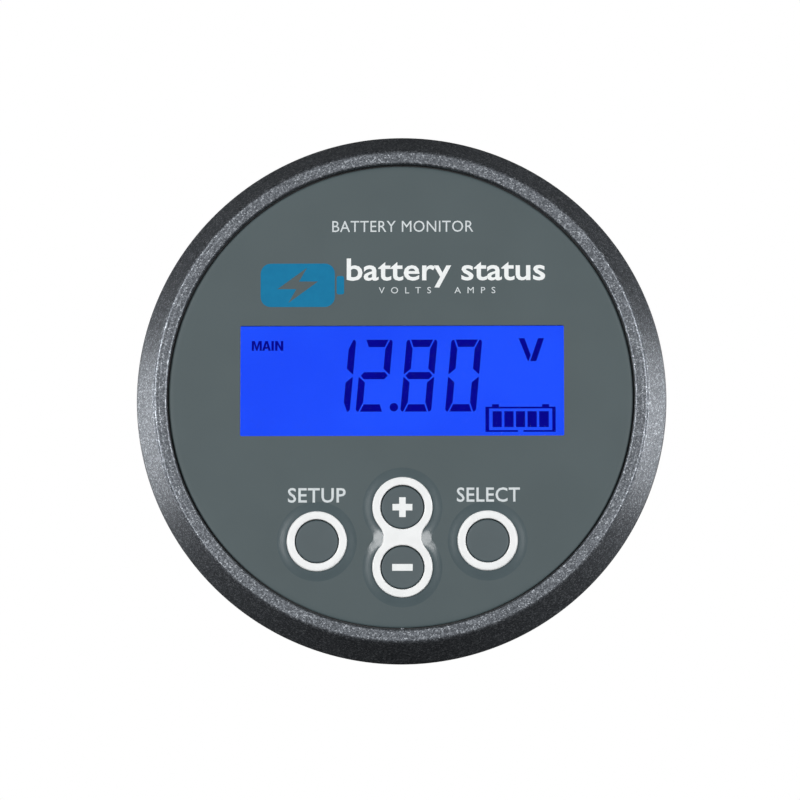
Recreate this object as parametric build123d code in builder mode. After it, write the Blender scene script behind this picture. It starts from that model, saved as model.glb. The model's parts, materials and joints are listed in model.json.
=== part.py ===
from build123d import *
import math
import os

# Display head of a battery monitor: a round instrument that goes through a 52 mm panel hole.
# Frame: millimetres, +Z up, the instrument's axis is Y and its face looks towards -Y.
# The origin is on the axis, in the plane of the panel's front surface (the rear of the flange gasket).
# A part's Y range is named from its front (the lower value) to its rear.

# ---------------------------------------------------------------- driving dimensions
BEZEL_R = 31.5
BARREL_R = 26.0
BODY_DEPTH = 31.0
FRONT_Y = -8.0

# Bezel
RING_R = 29.25
LIP_R = 27.6
BEZEL_REAR_Y = -0.3
BEZEL_REAR_R = 31.0
BEZEL_RIM_Y = -3.4
BEZEL_EDGE_FILLET = 0.6
BEZEL_LIP_FILLET = 0.25
SNAP_BEAD_R = 29.9

# Front plate, overlay and window
OVERLAY_Y = (-7.3, -6.9)
OVERLAY_R = 27.4
DECK_Y = (-6.9, -5.3)
DECK_R = 28.6
SKIRT_INNER_R = 27.2
WINDOW_SIZE = (38.25, 13.12)
WINDOW_CENTER = (0.15, 1.82)
LENS_MARGIN = 1.0
LENS_THICKNESS = 0.6
WINDOW_CLEARANCE = 0.15

# Keys: centres as (x, z) in the face, radii and travel
KEY_CENTERS = {
    "setup": (-9.87, -17.23),
    "select": (10.22, -17.15),
    "plus": (0.2, -13.2),
    "minus": (0.2, -20.3),
}
KEY_R = 2.53
KEY_HOLE_R = 2.63
KEY_FRONT_Y = -7.45
KEY_FLANGE_Y = (-5.2, -4.4)
KEY_FLANGE_R = 3.2
KEY_STUB_R = 1.2
RIM_Y = (-7.75, -7.3)
RIM_INNER_R = 2.6
RIM_OUTER_R = 3.55
RIM_WAIST = 2.24
RIM_FILLET = 0.18

# Case: flange, collar, thread and bore
FLANGE_Y = (-2.6, -1.0)
FLANGE_R = 30.2
GASKET_RADII = (27.0, 29.7)
FRONT_BORE_R = 24.2
REAR_BORE_R = 23.4
COLLAR_END_Y = 2.4
THREAD_ROOT_R = 24.9
THREAD_CREST_R = 25.85
THREAD_PITCH = 3.0
THREAD_HALF_ROOT = 0.95
THREAD_HALF_CREST = 0.35
THREAD_OVERLAP = 0.3
THREAD_CLEARANCE = 0.25
KEYWAY_WIDTH = 4.2
KEYWAY_FLOOR_R = 24.2
COVER_Y = (29.0, BODY_DEPTH)
CASE_BOSS_CENTER_R = 21.4
CASE_BOSS_R = 2.3
CASE_BOSS_Y = (20.0, COVER_Y[0])

# Thrust washer and lock ring, drawn clamping a panel and packing 6 mm thick
WASHER_Y = (6.0, 7.6)
WASHER_RADII = (26.2, 29.8)
WASHER_TAB_WIDTH = 3.6
WASHER_TAB_R = 24.45
RING_Y = (7.7, 16.7)
RING_FLANGE_THICKNESS = 2.4
RING_FLANGE_R = 30.2
RING_BODY_R = 28.4
RING_BORE_R = THREAD_CREST_R + THREAD_CLEARANCE
RING_LUG_COUNT = 12
RING_LUG_R = 29.7
RING_LUG_WIDTH = 3.2

# Liquid crystal display stack
LCD_WIDTH = 40.4
LCD_CENTER_Z = 2.1
FRONT_GLASS_HEIGHT = 18.2
REAR_GLASS_HEIGHT = 16.0
FRONT_GLASS_Y = (-5.2, -4.1)
REAR_GLASS_Y = (-4.1, -3.0)
LIGHT_GUIDE_Y = (-2.9, -0.9)
REFLECTOR_Y = (-0.9, -0.7)
TRAY_Y = (DECK_Y[1], 0.8)
TRAY_WALL = 1.0
LED_SIZE = (1.2, 2.2)
LED_ROW_X = -19.3
LED_ROW_Z = (-1.0, 3.4, 7.8)
ZEBRA_SIZE = (38.0, 1.6)
ZEBRA_Z = -5.8

# Display board and what it carries
BOARD_Y = (0.8, 2.4)
BOARD_R = 23.9
BOARD_SCREWS = [(-13.2, 16.6), (13.2, 16.6), (-18.0, -10.8), (18.0, -10.8)]
BOARD_BOSS_R = 1.9
SCREW_SHANK_R = 0.9
SCREW_HEAD_R = 1.7
SCREW_HEAD_HEIGHT = 1.3
SWITCH_SIZE = 6.0
SWITCH_Y = (-2.6, BOARD_Y[0])
PLUNGER_R = 1.7
PLUNGER_Y = (-3.5, -2.2)
PLUNGER_HOLE_R = 1.8
PLUNGER_HOLE_DEPTH = 1.0
CHIP_CENTER = (6.0, 3.0)
CHIP_SIZE = 10.0
CHIP_HEIGHT = 1.4
CHIP_LEADS_PER_SIDE = 11
CHIP_LEAD_PITCH = 0.8
CRYSTAL_CENTER = (6.0, -7.0)
CRYSTAL_SIZE = (10.8, 4.4, 3.4)
BUZZER_CENTER = (-12.0, 2.5)
BUZZER_R = 5.5
BUZZER_HEIGHT = 6.0
LINK_CENTER = (0.0, 15.0)
LINK_SIZE = (12.7, 5.0)
LINK_SOCKET_HEIGHT = 8.5
LINK_PIN_PITCH = 2.54
LINK_PIN_R = 0.32

# Connector board, rear cover and sockets
REAR_BOARD_Y = (16.0, 17.6)
REAR_BOARD_R = 22.6
BOSS_NOTCH_R = 2.9
COVER_R = THREAD_ROOT_R
POST_CENTERS = [(-18.5, 0.0), (18.5, 0.0)]
POST_ACROSS_FLATS = 4.0
POST_BORE_DEPTH = 6.0
COVER_SCREW_SHANK_R = 1.0
COVER_SCREW_HEAD_R = 2.0
COVER_COUNTERBORE_R = 2.2
COVER_COUNTERBORE_DEPTH = 1.3
RELAY_CENTER = (-8.0, -8.2)
RELAY_SIZE = (15.0, 7.4, 9.5)
CAPACITOR_CENTER = (10.0, -8.0)
CAPACITOR_R = 3.15
CAPACITOR_HEIGHT = 8.0
SHUNT_SOCKET_CENTER = (-7.5, 3.5)
SHUNT_SOCKET_SIZE = (13.2, 15.0)
PLUG_CAVITY_SIZE = (9.9, 6.9)
PLUG_CAVITY_DEPTH = 11.5
LATCH_GROOVES = [(6.2, 1.5), (3.4, 1.3)]
CONTACT_PITCH = 1.02
CONTACT_COUNT = 6
CONTACT_WIDTH = 0.4
DATA_PORT_CENTER = (10.0, 7.0)
DATA_PORT_SIZE = (9.9, 5.9)
DATA_PORT_Y = (REAR_BOARD_Y[1], 30.2)
DATA_PORT_WALL = 0.8
DATA_PORT_DEPTH = 6.0
DATA_PIN_PITCH = 2.0
DATA_PIN_WIDTH = 0.5
DATA_PIN_COUNT = 4
TERMINAL_CENTER = (0.5, -11.5)
TERMINAL_SIZE = (15.4, 8.4)
TERMINAL_PITCH = 5.08
TERMINAL_POLES = 3
TERMINAL_POCKET = (4.2, 7.2)
TERMINAL_POCKET_END_Y = 25.9
TERMINAL_WELL_R = 1.8
TERMINAL_WELL_Z = -9.6
TERMINAL_ENTRY_SIZE = 2.8
TERMINAL_ENTRY_Z = -13.4
CUTOUT_GAP = 0.2
LABEL_SIZE = (20.0, 6.0)
LABEL_CENTER = (0.0, 16.5)
LABEL_THICKNESS = 0.1

pieces = []


def face_plane(y):
    """Sketch plane at a given Y: local x runs along X, local y along Z, and it faces -Y."""
    return Plane.XZ.offset(-y)


def span(y_range):
    """Length of a part from its front to its rear."""
    return y_range[1] - y_range[0]


def keep(builder, label):
    """Label a finished piece and put it on the list to be written."""
    builder.part.label = label
    pieces.append(builder.part)


def ring_positions(radius, count, first_angle):
    """Points evenly spaced on a circle in the face plane."""
    angles = [math.radians(first_angle + 360 * i / count) for i in range(count)]
    return [(radius * math.cos(a), radius * math.sin(a)) for a in angles]


CASE_BOSSES = ring_positions(CASE_BOSS_CENTER_R, 4, 45)

# ---------------------------------------------------------------- bezel
# Snap-on ring: a lip over the front plate, a cone outside that is widest at the rim and draws in
# behind it, and a bead that hooks behind the flange.
with BuildPart() as bezel:
    with BuildSketch(Plane.XY) as bezel_profile:
        with BuildLine():
            Polyline(
                (BEZEL_REAR_R, BEZEL_REAR_Y),
                (BEZEL_R, BEZEL_RIM_Y),
                (RING_R, FRONT_Y),
                (LIP_R, FRONT_Y),
                (LIP_R, DECK_Y[0]),
                (DECK_R + 0.1, DECK_Y[0]),
                (DECK_R + 0.1, FLANGE_Y[0] - 0.1),
                (FLANGE_R + 0.1, FLANGE_Y[0] - 0.1),
                (FLANGE_R + 0.1, FLANGE_Y[1]),
                (SNAP_BEAD_R, FLANGE_Y[1]),
                (SNAP_BEAD_R, BEZEL_REAR_Y),
                close=True,
            )
        make_face()
        outer_edge = bezel_profile.vertices().group_by(Axis.Y)[0].sort_by(Axis.X)[-1]
        fillet(outer_edge, radius=BEZEL_EDGE_FILLET)
        lip_edge = bezel_profile.vertices().group_by(Axis.Y)[0].sort_by(Axis.X)[0]
        fillet(lip_edge, radius=BEZEL_LIP_FILLET)
    revolve(axis=Axis.Y)
keep(bezel, "bezel")

# ---------------------------------------------------------------- graphic overlay and lens
# Printed face sheet with an open window and four key holes; the lens sits in the deck behind it.
with BuildPart() as graphic_overlay:
    with BuildSketch(face_plane(OVERLAY_Y[1])):
        Circle(OVERLAY_R)
        with Locations(WINDOW_CENTER):
            RectangleRounded(*WINDOW_SIZE, radius=0.15, mode=Mode.SUBTRACT)
        with Locations(*KEY_CENTERS.values()):
            Circle(KEY_HOLE_R + 0.2, mode=Mode.SUBTRACT)
    extrude(amount=span(OVERLAY_Y))
keep(graphic_overlay, "graphic_overlay")

lens_size = (WINDOW_SIZE[0] + 2 * LENS_MARGIN, WINDOW_SIZE[1] + 2 * LENS_MARGIN)
with BuildPart() as window_lens:
    with BuildSketch(face_plane(DECK_Y[0] + LENS_THICKNESS)):
        with Locations(WINDOW_CENTER):
            RectangleRounded(*lens_size, radius=0.5)
    extrude(amount=LENS_THICKNESS)
keep(window_lens, "window_lens")

# ---------------------------------------------------------------- front plate
# Deck with the window and key holes, a skirt that stands on the flange, and four screw bosses.
with BuildPart() as front_plate:
    with BuildSketch(face_plane(DECK_Y[1])):
        Circle(DECK_R)
        with Locations(WINDOW_CENTER):
            Rectangle(
                WINDOW_SIZE[0] + 2 * WINDOW_CLEARANCE,
                WINDOW_SIZE[1] + 2 * WINDOW_CLEARANCE,
                mode=Mode.SUBTRACT,
            )
        with Locations(*KEY_CENTERS.values()):
            Circle(KEY_HOLE_R, mode=Mode.SUBTRACT)
    extrude(amount=span(DECK_Y))
    with BuildSketch(face_plane(DECK_Y[0])):
        with Locations(WINDOW_CENTER):
            RectangleRounded(
                lens_size[0] + 2 * WINDOW_CLEARANCE,
                lens_size[1] + 2 * WINDOW_CLEARANCE,
                radius=0.5,
            )
    extrude(amount=-LENS_THICKNESS, mode=Mode.SUBTRACT)
    with BuildSketch(face_plane(DECK_Y[1])):
        Circle(DECK_R)
        Circle(SKIRT_INNER_R, mode=Mode.SUBTRACT)
    extrude(amount=-(FLANGE_Y[0] - DECK_Y[1]))
    with BuildSketch(face_plane(BOARD_Y[0])):
        with Locations(*BOARD_SCREWS):
            Circle(BOARD_BOSS_R)
    extrude(amount=BOARD_Y[0] - DECK_Y[1])
    with BuildSketch(face_plane(BOARD_Y[0])):
        with Locations(*BOARD_SCREWS):
            Circle(SCREW_SHANK_R)
    extrude(amount=BOARD_Y[0] - DECK_Y[1] - 0.8, mode=Mode.SUBTRACT)
keep(front_plate, "front_plate")

# ---------------------------------------------------------------- case
# One moulding: flange, plain collar, threaded barrel with two keyways, stepped bore, cover bosses.
NUT_THREAD_START = RING_Y[0] + 1.3
BARREL_THREAD_START = NUT_THREAD_START - 1.5 * THREAD_PITCH
BARREL_THREAD_LENGTH = COVER_Y[0] - 1.0 - BARREL_THREAD_START

with BuildPart() as case:
    with BuildSketch(Plane.XY):
        with BuildLine():
            Polyline(
                (FRONT_BORE_R, FLANGE_Y[0]),
                (FLANGE_R, FLANGE_Y[0]),
                (FLANGE_R, FLANGE_Y[1]),
                (BARREL_R, FLANGE_Y[1]),
                (BARREL_R, COLLAR_END_Y),
                (THREAD_ROOT_R, COLLAR_END_Y),
                (THREAD_ROOT_R, COVER_Y[0]),
                (REAR_BORE_R, COVER_Y[0]),
                (REAR_BORE_R, BOARD_Y[1]),
                (FRONT_BORE_R, BOARD_Y[1]),
                close=True,
            )
        make_face()
    revolve(axis=Axis.Y)
    with BuildLine() as barrel_helix:
        Helix(
            pitch=THREAD_PITCH,
            height=BARREL_THREAD_LENGTH,
            radius=THREAD_ROOT_R,
            center=(0, BARREL_THREAD_START, 0),
            direction=(0, 1, 0),
        )
    with BuildSketch(
        Plane(
            origin=barrel_helix.line @ 0,
            x_dir=(0, 0, 1),
            z_dir=barrel_helix.line % 0,
        )
    ):
        Polygon(
            (-THREAD_OVERLAP, -THREAD_HALF_ROOT),
            (THREAD_CREST_R - THREAD_ROOT_R, -THREAD_HALF_CREST),
            (THREAD_CREST_R - THREAD_ROOT_R, THREAD_HALF_CREST),
            (-THREAD_OVERLAP, THREAD_HALF_ROOT),
            align=None,
        )
    sweep(path=barrel_helix.line, is_frenet=True)
    with BuildSketch(face_plane(COLLAR_END_Y)):
        with Locations((KEYWAY_FLOOR_R + 2.0, 0), (-KEYWAY_FLOOR_R - 2.0, 0)):
            Rectangle(4.0, KEYWAY_WIDTH)
    extrude(amount=-(COVER_Y[0] - COLLAR_END_Y), mode=Mode.SUBTRACT)
    with BuildSketch(face_plane(CASE_BOSS_Y[1])):
        with Locations(*CASE_BOSSES):
            Circle(CASE_BOSS_R)
    extrude(amount=span(CASE_BOSS_Y))
    with BuildSketch(face_plane(CASE_BOSS_Y[1])):
        with Locations(*CASE_BOSSES):
            Circle(COVER_SCREW_SHANK_R)
    extrude(amount=span(CASE_BOSS_Y) - 2.0, mode=Mode.SUBTRACT)
keep(case, "case")

with BuildPart() as flange_gasket:
    with BuildSketch(face_plane(0.0)):
        Circle(GASKET_RADII[1])
        Circle(GASKET_RADII[0], mode=Mode.SUBTRACT)
    extrude(amount=-FLANGE_Y[1])
keep(flange_gasket, "flange_gasket")


# ---------------------------------------------------------------- keys, plungers and rims
def make_key(center):
    """Key cap: a round button with a retaining flange behind the deck and a stub onto its switch."""
    with BuildPart() as key:
        with BuildSketch(face_plane(KEY_FLANGE_Y[0])):
            with Locations(center):
                Circle(KEY_R)
        extrude(amount=KEY_FLANGE_Y[0] - KEY_FRONT_Y)
        fillet(key.edges().group_by(Axis.Y)[0], radius=0.2)
        with BuildSketch(face_plane(KEY_FLANGE_Y[1])):
            with Locations(center):
                Circle(KEY_FLANGE_R)
        extrude(amount=span(KEY_FLANGE_Y))
        with BuildSketch(face_plane(PLUNGER_Y[0])):
            with Locations(center):
                Circle(KEY_STUB_R)
        extrude(amount=PLUNGER_Y[0] - KEY_FLANGE_Y[1])
    return key


def make_plunger(center):
    """Switch actuator: a short round pin that runs in the switch body."""
    with BuildPart() as plunger:
        with BuildSketch(face_plane(PLUNGER_Y[1])):
            with Locations(center):
                Circle(PLUNGER_R)
        extrude(amount=span(PLUNGER_Y))
        fillet(plunger.edges().group_by(Axis.Y)[0], radius=0.15)
    return plunger


def make_rim(centers):
    """Raised white ring round one key, or one figure-of-eight round two keys with a narrow waist."""
    with BuildPart() as rim:
        with BuildSketch(face_plane(RIM_Y[1])):
            with Locations(*centers):
                Circle(RIM_OUTER_R)
            if len(centers) == 2:
                half = abs(centers[0][1] - centers[1][1]) / 2
                middle = (centers[0][0], (centers[0][1] + centers[1][1]) / 2)
                # radius of the arcs that are tangent to both circles and leave the waist between them
                waist_arc = (RIM_WAIST**2 + half**2 - RIM_OUTER_R**2) / (2 * (RIM_OUTER_R - RIM_WAIST))
                reach = RIM_WAIST + waist_arc
                with Locations(middle):
                    Polygon((0, half), (-reach, 0), (0, -half), (reach, 0), align=None)
                    with Locations((-reach, 0), (reach, 0)):
                        Circle(waist_arc, mode=Mode.SUBTRACT)
            with Locations(*centers):
                Circle(RIM_INNER_R, mode=Mode.SUBTRACT)
        extrude(amount=span(RIM_Y))
        fillet(rim.edges().group_by(Axis.Y)[0], radius=RIM_FILLET)
    return rim


for key_name, key_center in KEY_CENTERS.items():
    keep(make_key(key_center), key_name + "_key")
    keep(make_plunger(key_center), key_name + "_plunger")

keep(make_rim([KEY_CENTERS["setup"]]), "setup_rim")
keep(make_rim([KEY_CENTERS["select"]]), "select_rim")
keep(make_rim([KEY_CENTERS["plus"], KEY_CENTERS["minus"]]), "plus_minus_rim")

# ---------------------------------------------------------------- display stack
# The front glass is the taller one: its lower ledge carries the contacts for the zebra strip.
lcd_top_z = LCD_CENTER_Z + FRONT_GLASS_HEIGHT / 2
rear_glass_z = lcd_top_z - REAR_GLASS_HEIGHT / 2

with BuildPart() as lcd_front_glass:
    with BuildSketch(face_plane(FRONT_GLASS_Y[1])):
        with Locations((0, LCD_CENTER_Z)):
            Rectangle(LCD_WIDTH, FRONT_GLASS_HEIGHT)
    extrude(amount=span(FRONT_GLASS_Y))
keep(lcd_front_glass, "lcd_front_glass")

with BuildPart() as lcd_rear_glass:
    with BuildSketch(face_plane(REAR_GLASS_Y[1])):
        with Locations((0, rear_glass_z)):
            Rectangle(LCD_WIDTH, REAR_GLASS_HEIGHT)
    extrude(amount=span(REAR_GLASS_Y))
keep(lcd_rear_glass, "lcd_rear_glass")

with BuildPart() as zebra_strip:
    with BuildSketch(face_plane(BOARD_Y[0])):
        with Locations((0, ZEBRA_Z)):
            Rectangle(*ZEBRA_SIZE)
    extrude(amount=BOARD_Y[0] - FRONT_GLASS_Y[1])
keep(zebra_strip, "zebra_strip")

guide_left_x = LED_ROW_X + LED_SIZE[0] / 2 + 0.1
guide_right_x = LCD_WIDTH / 2
guide_width = guide_right_x - guide_left_x
guide_center = ((guide_left_x + guide_right_x) / 2, rear_glass_z)
guide_height = REAR_GLASS_HEIGHT - 0.2

with BuildPart() as light_guide:
    with BuildSketch(face_plane(LIGHT_GUIDE_Y[1])):
        with Locations(guide_center):
            Rectangle(guide_width, guide_height)
    extrude(amount=span(LIGHT_GUIDE_Y))
keep(light_guide, "light_guide")

with BuildPart() as reflector:
    with BuildSketch(face_plane(REFLECTOR_Y[1])):
        with Locations(guide_center):
            Rectangle(guide_width, guide_height)
    extrude(amount=span(REFLECTOR_Y))
keep(reflector, "reflector")

with BuildPart() as backlight_leds:
    with BuildSketch(face_plane(BOARD_Y[0])):
        with Locations(*[(LED_ROW_X, z) for z in LED_ROW_Z]):
            Rectangle(*LED_SIZE)
    extrude(amount=BOARD_Y[0] - LIGHT_GUIDE_Y[0] - 0.2)
keep(backlight_leds, "backlight_leds")

pocket_size = (LCD_WIDTH + 0.2, FRONT_GLASS_HEIGHT + 0.2)
with BuildPart() as lcd_tray:
    with BuildSketch(face_plane(TRAY_Y[1])):
        with Locations((0, LCD_CENTER_Z)):
            Rectangle(pocket_size[0] + 2 * TRAY_WALL, pocket_size[1] + 2 * TRAY_WALL)
        Circle(BOARD_R, mode=Mode.INTERSECT)
    extrude(amount=span(TRAY_Y))
    with BuildSketch(face_plane(REFLECTOR_Y[1])):
        with Locations((0, LCD_CENTER_Z)):
            Rectangle(*pocket_size)
    extrude(amount=REFLECTOR_Y[1] - TRAY_Y[0], mode=Mode.SUBTRACT)
    with BuildSketch(face_plane(TRAY_Y[1])):
        with Locations((0, ZEBRA_Z)):
            Rectangle(ZEBRA_SIZE[0] + 0.4, ZEBRA_SIZE[1] + 0.2)
        with Locations(*[(LED_ROW_X, z) for z in LED_ROW_Z]):
            Rectangle(LED_SIZE[0] + 0.2, LED_SIZE[1] + 0.2)
        with Locations((0, rear_glass_z)):
            with GridLocations(9.0, 0, 4, 1):
                Circle(2.5)
    extrude(amount=TRAY_Y[1] - REFLECTOR_Y[1], mode=Mode.SUBTRACT)
keep(lcd_tray, "lcd_tray")

# ---------------------------------------------------------------- display board
with BuildPart() as display_board:
    with BuildSketch(face_plane(BOARD_Y[1])):
        Circle(BOARD_R)
        with Locations(*BOARD_SCREWS):
            Circle(SCREW_SHANK_R + 0.2, mode=Mode.SUBTRACT)
    extrude(amount=span(BOARD_Y))
keep(display_board, "display_board")

with BuildPart() as tact_switches:
    with BuildSketch(face_plane(SWITCH_Y[1])):
        with Locations(*KEY_CENTERS.values()):
            RectangleRounded(SWITCH_SIZE, SWITCH_SIZE, radius=0.4)
    extrude(amount=span(SWITCH_Y))
    with BuildSketch(face_plane(SWITCH_Y[0])):
        with Locations(*KEY_CENTERS.values()):
            Circle(PLUNGER_HOLE_R)
    extrude(amount=-PLUNGER_HOLE_DEPTH, mode=Mode.SUBTRACT)
keep(tact_switches, "tact_switches")


def make_screws(centers, head_y, shank_end_y, head_r, shank_r):
    """Pan-head screws with a cross recess, their heads standing on the plane head_y."""
    head_side = 1 if shank_end_y < head_y else -1
    head_top = head_y + head_side * SCREW_HEAD_HEIGHT
    with BuildPart() as screws:
        with BuildSketch(face_plane(head_y)):
            with Locations(*centers):
                Circle(head_r)
        extrude(amount=-head_side * SCREW_HEAD_HEIGHT)
        crown = screws.edges().filter_by(GeomType.CIRCLE).filter_by_position(Axis.Y, head_top, head_top)
        fillet(crown, radius=0.35)
        with BuildSketch(face_plane(head_top)):
            with Locations(*centers):
                Rectangle(1.3 * head_r, 0.26 * head_r)
                Rectangle(0.26 * head_r, 1.3 * head_r)
        extrude(amount=head_side * 0.6 * SCREW_HEAD_HEIGHT, mode=Mode.SUBTRACT)
        with BuildSketch(face_plane(head_y)):
            with Locations(*centers):
                Circle(shank_r)
        extrude(amount=head_y - shank_end_y)
    return screws


keep(
    make_screws(BOARD_SCREWS, BOARD_Y[1], -3.4, SCREW_HEAD_R, SCREW_SHANK_R),
    "board_screws",
)

with BuildPart() as microcontroller:
    with BuildSketch(face_plane(BOARD_Y[1] + 0.15)):
        with Locations(CHIP_CENTER):
            Rectangle(CHIP_SIZE, CHIP_SIZE)
    extrude(amount=-CHIP_HEIGHT)
    chamfer(microcontroller.edges().filter_by(Axis.Y), length=0.5)
    with BuildSketch(face_plane(BOARD_Y[1])):
        with Locations(CHIP_CENTER):
            with GridLocations(CHIP_LEAD_PITCH, CHIP_SIZE, CHIP_LEADS_PER_SIDE, 2):
                Rectangle(0.35, 2.0)
            with GridLocations(CHIP_SIZE, CHIP_LEAD_PITCH, 2, CHIP_LEADS_PER_SIDE):
                Rectangle(2.0, 0.35)
    extrude(amount=-0.35)
keep(microcontroller, "microcontroller")

with BuildPart() as crystal:
    with BuildSketch(face_plane(BOARD_Y[1])):
        with Locations(CRYSTAL_CENTER):
            SlotOverall(CRYSTAL_SIZE[0], CRYSTAL_SIZE[1])
    extrude(amount=-CRYSTAL_SIZE[2])
    fillet(crystal.edges().group_by(Axis.Y)[-1], radius=0.5)
keep(crystal, "crystal")

with BuildPart() as buzzer:
    with BuildSketch(face_plane(BOARD_Y[1])):
        with Locations(BUZZER_CENTER):
            Circle(BUZZER_R)
    extrude(amount=-BUZZER_HEIGHT)
    fillet(buzzer.edges().group_by(Axis.Y)[-1], radius=0.5)
    with BuildSketch(face_plane(BOARD_Y[1] + BUZZER_HEIGHT)):
        with Locations(BUZZER_CENTER):
            Circle(1.0)
    extrude(amount=2.0, mode=Mode.SUBTRACT)
keep(buzzer, "buzzer")

with BuildPart() as link_socket:
    with BuildSketch(face_plane(BOARD_Y[1])):
        with Locations(LINK_CENTER):
            Rectangle(*LINK_SIZE)
            with GridLocations(LINK_PIN_PITCH, LINK_PIN_PITCH, 5, 2):
                Circle(LINK_PIN_R + 0.08, mode=Mode.SUBTRACT)
    extrude(amount=-LINK_SOCKET_HEIGHT)
keep(link_socket, "link_socket")

with BuildPart() as link_pins:
    with BuildSketch(face_plane(REAR_BOARD_Y[0])):
        with Locations(LINK_CENTER):
            Rectangle(*LINK_SIZE)
    extrude(amount=2.5)
    with BuildSketch(face_plane(REAR_BOARD_Y[0] - 2.5)):
        with Locations(LINK_CENTER):
            with GridLocations(LINK_PIN_PITCH, LINK_PIN_PITCH, 5, 2):
                Circle(LINK_PIN_R)
    extrude(amount=7.5)
keep(link_pins, "link_pins")

# ---------------------------------------------------------------- connector board
with BuildPart() as connector_board:
    with BuildSketch(face_plane(REAR_BOARD_Y[1])):
        Circle(REAR_BOARD_R)
        with Locations(*CASE_BOSSES):
            Circle(BOSS_NOTCH_R, mode=Mode.SUBTRACT)
        with Locations(*POST_CENTERS):
            Circle(SCREW_SHANK_R + 0.2, mode=Mode.SUBTRACT)
    extrude(amount=span(REAR_BOARD_Y))
keep(connector_board, "connector_board")

keep(
    make_screws(POST_CENTERS, REAR_BOARD_Y[0], 23.0, SCREW_HEAD_R, SCREW_SHANK_R),
    "connector_board_screws",
)

with BuildPart() as relay:
    with BuildSketch(face_plane(REAR_BOARD_Y[0])):
        with Locations(RELAY_CENTER):
            Rectangle(RELAY_SIZE[0], RELAY_SIZE[1])
    extrude(amount=RELAY_SIZE[2])
    fillet(relay.edges().filter_by(Axis.Y), radius=0.6)
    fillet(relay.edges().group_by(Axis.Y)[0], radius=0.4)
keep(relay, "relay")

with BuildPart() as capacitor:
    with BuildSketch(face_plane(REAR_BOARD_Y[0])):
        with Locations(CAPACITOR_CENTER):
            Circle(CAPACITOR_R)
    extrude(amount=CAPACITOR_HEIGHT)
    fillet(capacitor.edges().group_by(Axis.Y)[0], radius=0.4)
keep(capacitor, "capacitor")

# ---------------------------------------------------------------- shunt socket
# Six-way modular jack, open at the rear, with the latch groove above the plug cavity.
jack_top_z = SHUNT_SOCKET_CENTER[1] + 1.6
cavity_top_z = jack_top_z + PLUG_CAVITY_SIZE[1] / 2
cavity_floor_z = jack_top_z - PLUG_CAVITY_SIZE[1] / 2
cavity_front_y = BODY_DEPTH - PLUG_CAVITY_DEPTH

with BuildPart() as shunt_socket:
    with BuildSketch(face_plane(BODY_DEPTH)):
        with Locations(SHUNT_SOCKET_CENTER):
            Rectangle(*SHUNT_SOCKET_SIZE)
    extrude(amount=BODY_DEPTH - REAR_BOARD_Y[1])
    with BuildSketch(face_plane(BODY_DEPTH)):
        with Locations((SHUNT_SOCKET_CENTER[0], jack_top_z)):
            Rectangle(*PLUG_CAVITY_SIZE)
        with Locations((SHUNT_SOCKET_CENTER[0], cavity_top_z + LATCH_GROOVES[0][1] / 2)):
            Rectangle(*LATCH_GROOVES[0])
        with Locations(
            (SHUNT_SOCKET_CENTER[0], cavity_top_z + LATCH_GROOVES[0][1] + LATCH_GROOVES[1][1] / 2)
        ):
            Rectangle(*LATCH_GROOVES[1])
    extrude(amount=PLUG_CAVITY_DEPTH, mode=Mode.SUBTRACT)
keep(shunt_socket, "shunt_socket")

# Each contact is a spring wire that rises from the cavity's floor towards the closed end.
with BuildPart() as socket_contacts:
    for i in range(CONTACT_COUNT):
        contact_x = SHUNT_SOCKET_CENTER[0] + (i - (CONTACT_COUNT - 1) / 2) * CONTACT_PITCH
        with BuildSketch(Plane.YZ.offset(contact_x)):
            Polygon(
                (BODY_DEPTH - 3.0, cavity_floor_z),
                (BODY_DEPTH - 3.6, cavity_floor_z),
                (cavity_front_y, cavity_floor_z + 1.6),
                (cavity_front_y, cavity_floor_z + 2.0),
                align=None,
            )
        extrude(amount=CONTACT_WIDTH / 2, both=True)
keep(socket_contacts, "socket_contacts")

# ---------------------------------------------------------------- data port
with BuildPart() as data_port:
    with BuildSketch(face_plane(DATA_PORT_Y[1])):
        with Locations(DATA_PORT_CENTER):
            Rectangle(*DATA_PORT_SIZE)
    extrude(amount=span(DATA_PORT_Y))
    with BuildSketch(face_plane(DATA_PORT_Y[1])):
        with Locations(DATA_PORT_CENTER):
            Rectangle(DATA_PORT_SIZE[0] - 2 * DATA_PORT_WALL, DATA_PORT_SIZE[1] - 2 * DATA_PORT_WALL)
            with Locations((0, DATA_PORT_SIZE[1] / 2)):
                with GridLocations(4.4, 0, 2, 1):
                    Rectangle(1.0, 2 * DATA_PORT_WALL)
    extrude(amount=DATA_PORT_DEPTH, mode=Mode.SUBTRACT)
keep(data_port, "data_port")

with BuildPart() as data_port_pins:
    with BuildSketch(face_plane(DATA_PORT_Y[1] - DATA_PORT_DEPTH)):
        with Locations(DATA_PORT_CENTER):
            with GridLocations(DATA_PIN_PITCH, 0, DATA_PIN_COUNT, 1):
                Rectangle(DATA_PIN_WIDTH, DATA_PIN_WIDTH)
    extrude(amount=-(DATA_PORT_DEPTH - 1.2))
    chamfer(data_port_pins.edges().group_by(Axis.Y)[-1], length=0.12)
keep(data_port_pins, "data_port_pins")

# ---------------------------------------------------------------- relay terminal block
# Each pole has a screw well above a square wire entry, both open at the rear, over a cage pocket.
terminal_xs = [
    TERMINAL_CENTER[0] + (i - (TERMINAL_POLES - 1) / 2) * TERMINAL_PITCH for i in range(TERMINAL_POLES)
]

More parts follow.
